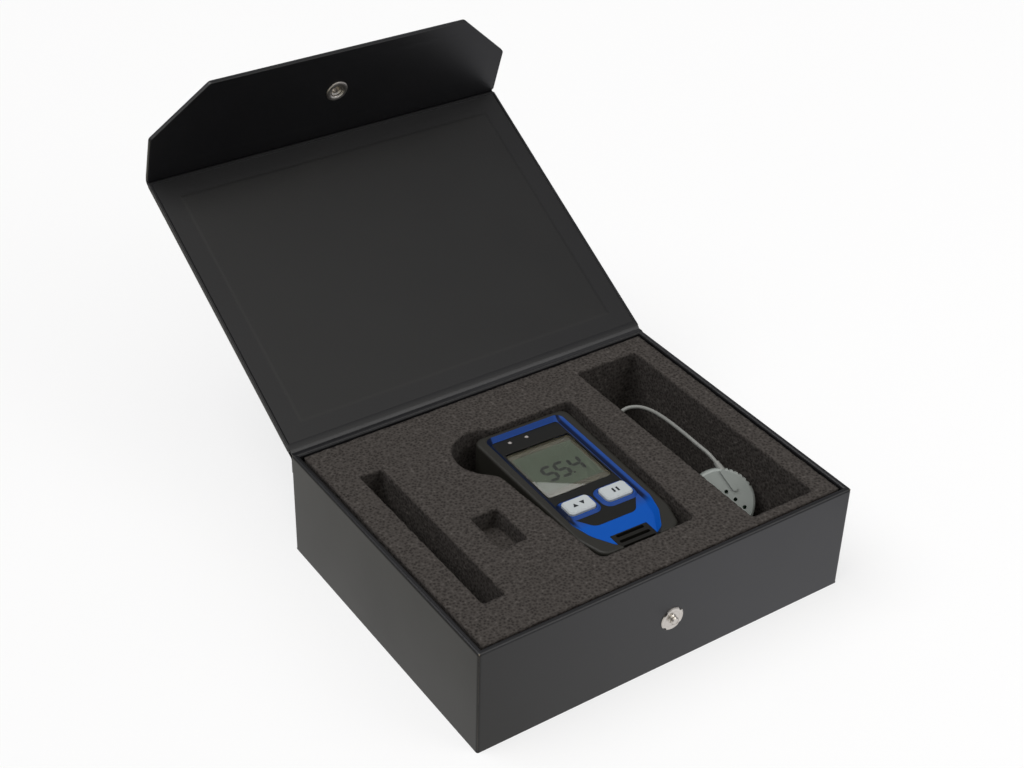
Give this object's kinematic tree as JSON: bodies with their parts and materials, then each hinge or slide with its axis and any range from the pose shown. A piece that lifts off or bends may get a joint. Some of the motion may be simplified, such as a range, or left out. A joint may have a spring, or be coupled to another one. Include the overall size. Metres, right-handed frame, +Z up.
{
  "type": "boxed handheld meter kit",
  "caption": "Open presentation case with a hinged lid and snap flap, holding a handheld digital meter, a round vented probe and its lead in a cut foam insert.",
  "frame": {"origin": "middle of the case's underside", "axes": "+X along the front edge to the right, +Y to the lid's hinge, +Z up"},
  "size_m": [0.2106, 0.3139, 0.1938],
  "materials": {
    "leatherette": "fine embossed grain, satin",
    "lining": "smooth matte lining",
    "board": "grey binder's board",
    "foam": "open-cell polyurethane foam, matte",
    "nickel": "nickel plate",
    "blue_shell": "moulded ABS, semi-gloss",
    "grey_shell": "moulded ABS, fine texture",
    "overlay": "printed polyester film",
    "window": "clear acrylic",
    "display": "liquid crystal display, grey-green",
    "key": "silver-white moulding",
    "silicone": "moulded silicone",
    "circuit": "glass-epoxy laminate, green mask",
    "lamp": "tinted epoxy lens",
    "black_plastic": "moulded nylon",
    "cell": "wrapped steel can",
    "steel": "zinc plate",
    "probe_shell": "moulded ABS, grey-green",
    "cable_jacket": "soft PVC, light grey"
  },
  "bodies": {
    "case": {"base_cover": "leatherette", "base_board": "board", "front_board": "board", "back_board": "board", "left_board": "board", "right_board": "board", "tray_cover": "leatherette", "foam_insert": "foam", "foam_base": "foam", "snap_stud": "nickel", "snap_rivet": "nickel"},
    "lid": {"lid_cover": "leatherette", "lid_board": "board", "lid_liner": "lining", "lid_hinge_strip": "leatherette"},
    "flap": {"flap_cover": "leatherette", "flap_board": "board", "flap_liner": "lining", "flap_hinge_strip": "leatherette", "snap_socket": "nickel", "snap_cap": "nickel"},
    "meter": {"front_shell": "blue_shell", "vent_grille": "black_plastic", "rear_shell": "grey_shell", "face_overlay": "overlay", "lcd_window": "window", "lcd_module": "display", "lcd_connector": "silicone", "circuit_board": "circuit", "key_membrane": "silicone", "led_left": "lamp", "led_right": "lamp", "sensor_capsule": "black_plastic", "jack_socket": "black_plastic", "battery": "cell", "battery_contacts": "steel", "battery_door": "grey_shell", "housing_screws": "steel"},
    "key_left": {"key_left": "key"},
    "key_right": {"key_right": "key"},
    "probe": {"probe_front": "probe_shell", "probe_back": "probe_shell", "probe_board": "circuit", "probe_strain_relief": "cable_jacket", "probe_cable": "cable_jacket", "cable_coil": "cable_jacket", "cable_tail": "cable_jacket", "cable_tie": "black_plastic", "plug_body": "black_plastic", "plug_pin": "nickel"}
  },
  "joints": [
    {"name": "lid_hinge", "type": "hinge", "parent": "case", "child": "lid", "pos_m": [0, 0.0818, 0.0583], "axis": [-1, 0, 0], "range_deg": [-151.1, 28]},
    {"name": "flap_hinge", "type": "hinge", "parent": "lid", "child": "flap", "pos_m": [0, 0.22678, 0.13833], "axis": [-1, 0, 0], "range_deg": [-10.15, 79.85]},
    {"name": "meter_lift", "type": "slide", "parent": "case", "child": "meter", "axis": [0, 0, 1], "range_m": [0, 0.1]},
    {"name": "probe_lift", "type": "slide", "parent": "case", "child": "probe", "axis": [0, 0, 1], "range_m": [0, 0.1]},
    {"name": "key_left_press", "type": "slide", "parent": "meter", "child": "key_left", "axis": [0, 0, -1], "range_m": [0, 0.0008], "stiffness_N_per_m": 800, "springref_m": -0.0006},
    {"name": "key_right_press", "type": "slide", "parent": "meter", "child": "key_right", "axis": [0, 0, -1], "range_m": [0, 0.0008], "stiffness_N_per_m": 800, "springref_m": -0.0006}
  ]
}
